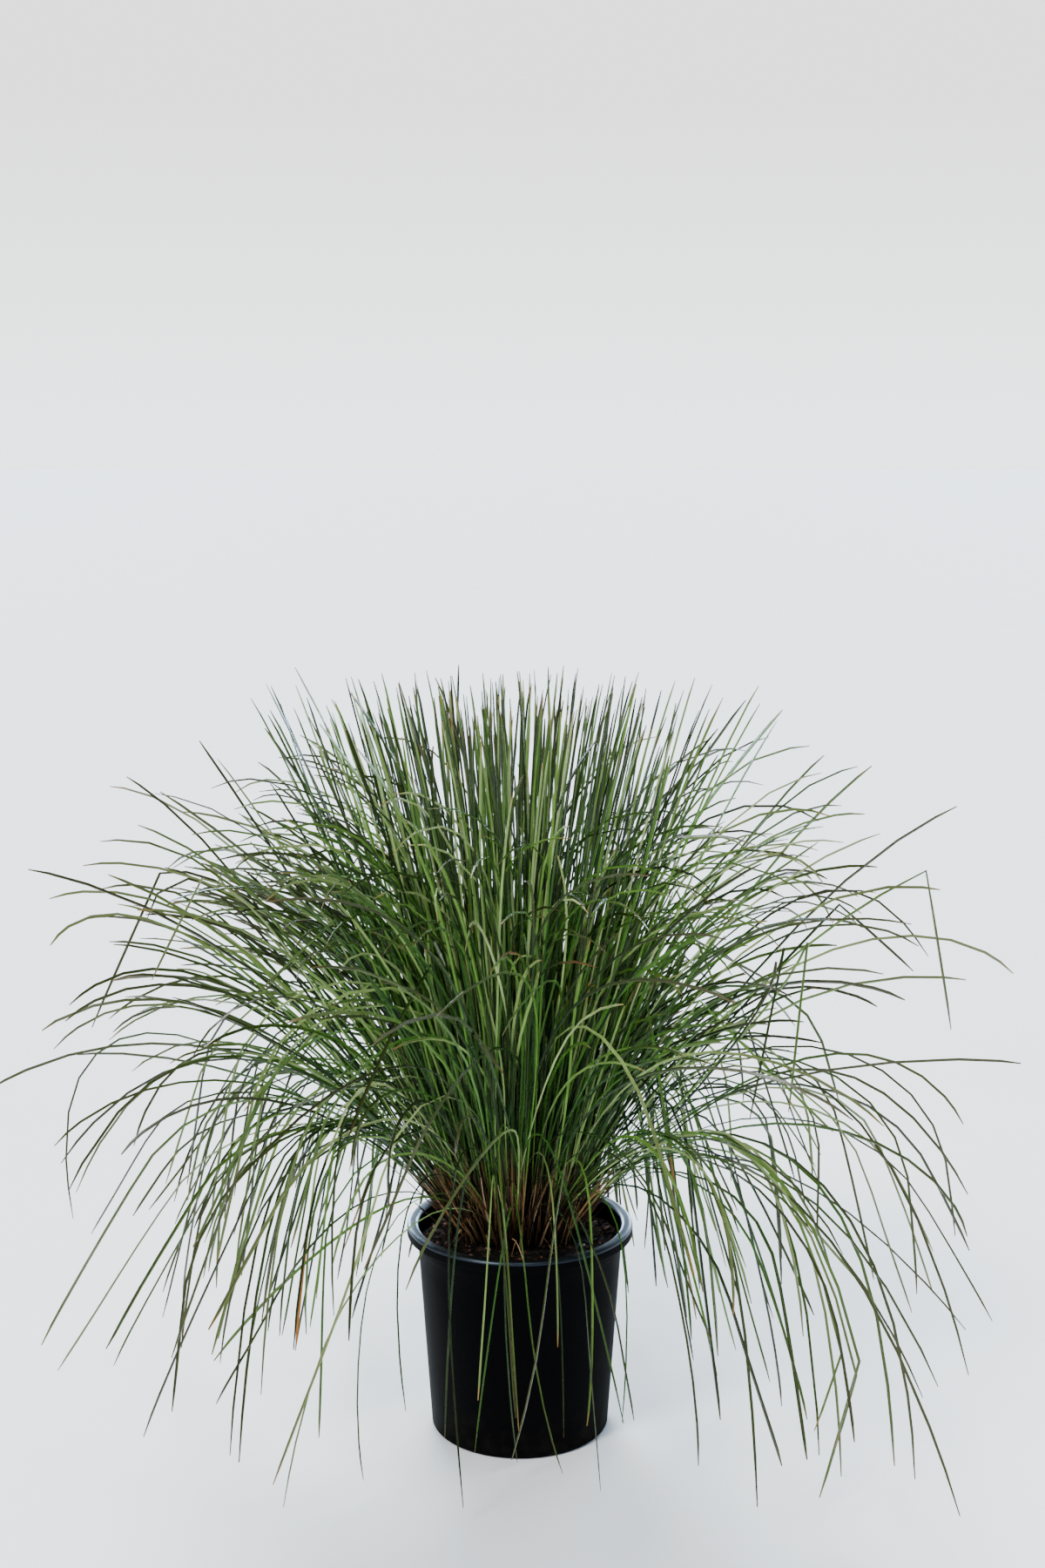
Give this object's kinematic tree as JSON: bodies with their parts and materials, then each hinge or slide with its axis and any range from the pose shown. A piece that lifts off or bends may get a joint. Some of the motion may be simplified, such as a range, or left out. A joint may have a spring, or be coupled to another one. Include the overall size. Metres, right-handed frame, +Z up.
{
  "type": "potted fountain grass",
  "caption": "Ornamental fountain grass, an arching clump of narrow green leaves, growing in a tapered black plastic nursery pot with a rolled rim.",
  "frame": {"origin": "middle of the pot's underside, on the surface the pot stands on", "axes": "+Z up along the pot's axis, -Y towards the front of the plant, +X to the viewer's right"},
  "size_m": [1.0822, 1.0317, 0.8465],
  "materials": {
    "pot_plastic": "satin",
    "potting_mix": "matte",
    "straw": "matte",
    "leaf": "satin"
  },
  "bodies": {
    "root": {"pot": "pot_plastic", "soil": "potting_mix", "crown": "straw", "tuft_01": "leaf", "tuft_02": "leaf", "tuft_03": "leaf", "tuft_04": "leaf", "tuft_05": "leaf", "tuft_06": "leaf", "tuft_07": "leaf", "tuft_08": "leaf", "tuft_09": "leaf", "tuft_10": "leaf", "tuft_11": "leaf", "tuft_12": "leaf", "tuft_13": "leaf", "tuft_14": "leaf", "tuft_15": "leaf", "tuft_16": "leaf", "tuft_17": "leaf", "tuft_18": "leaf", "tuft_19": "leaf", "tuft_20": "leaf", "tuft_21": "leaf", "tuft_22": "leaf", "tuft_23": "leaf", "tuft_24": "leaf", "tuft_25": "leaf", "tuft_26": "leaf", "tuft_27": "leaf", "tuft_28": "leaf", "tuft_29": "leaf", "tuft_30": "leaf", "tuft_31": "leaf", "tuft_32": "leaf", "tuft_33": "leaf", "tuft_34": "leaf", "tuft_35": "leaf", "tuft_36": "leaf", "tuft_37": "leaf", "tuft_38": "leaf", "tuft_39": "leaf", "tuft_40": "leaf"}
  },
  "joints": []
}
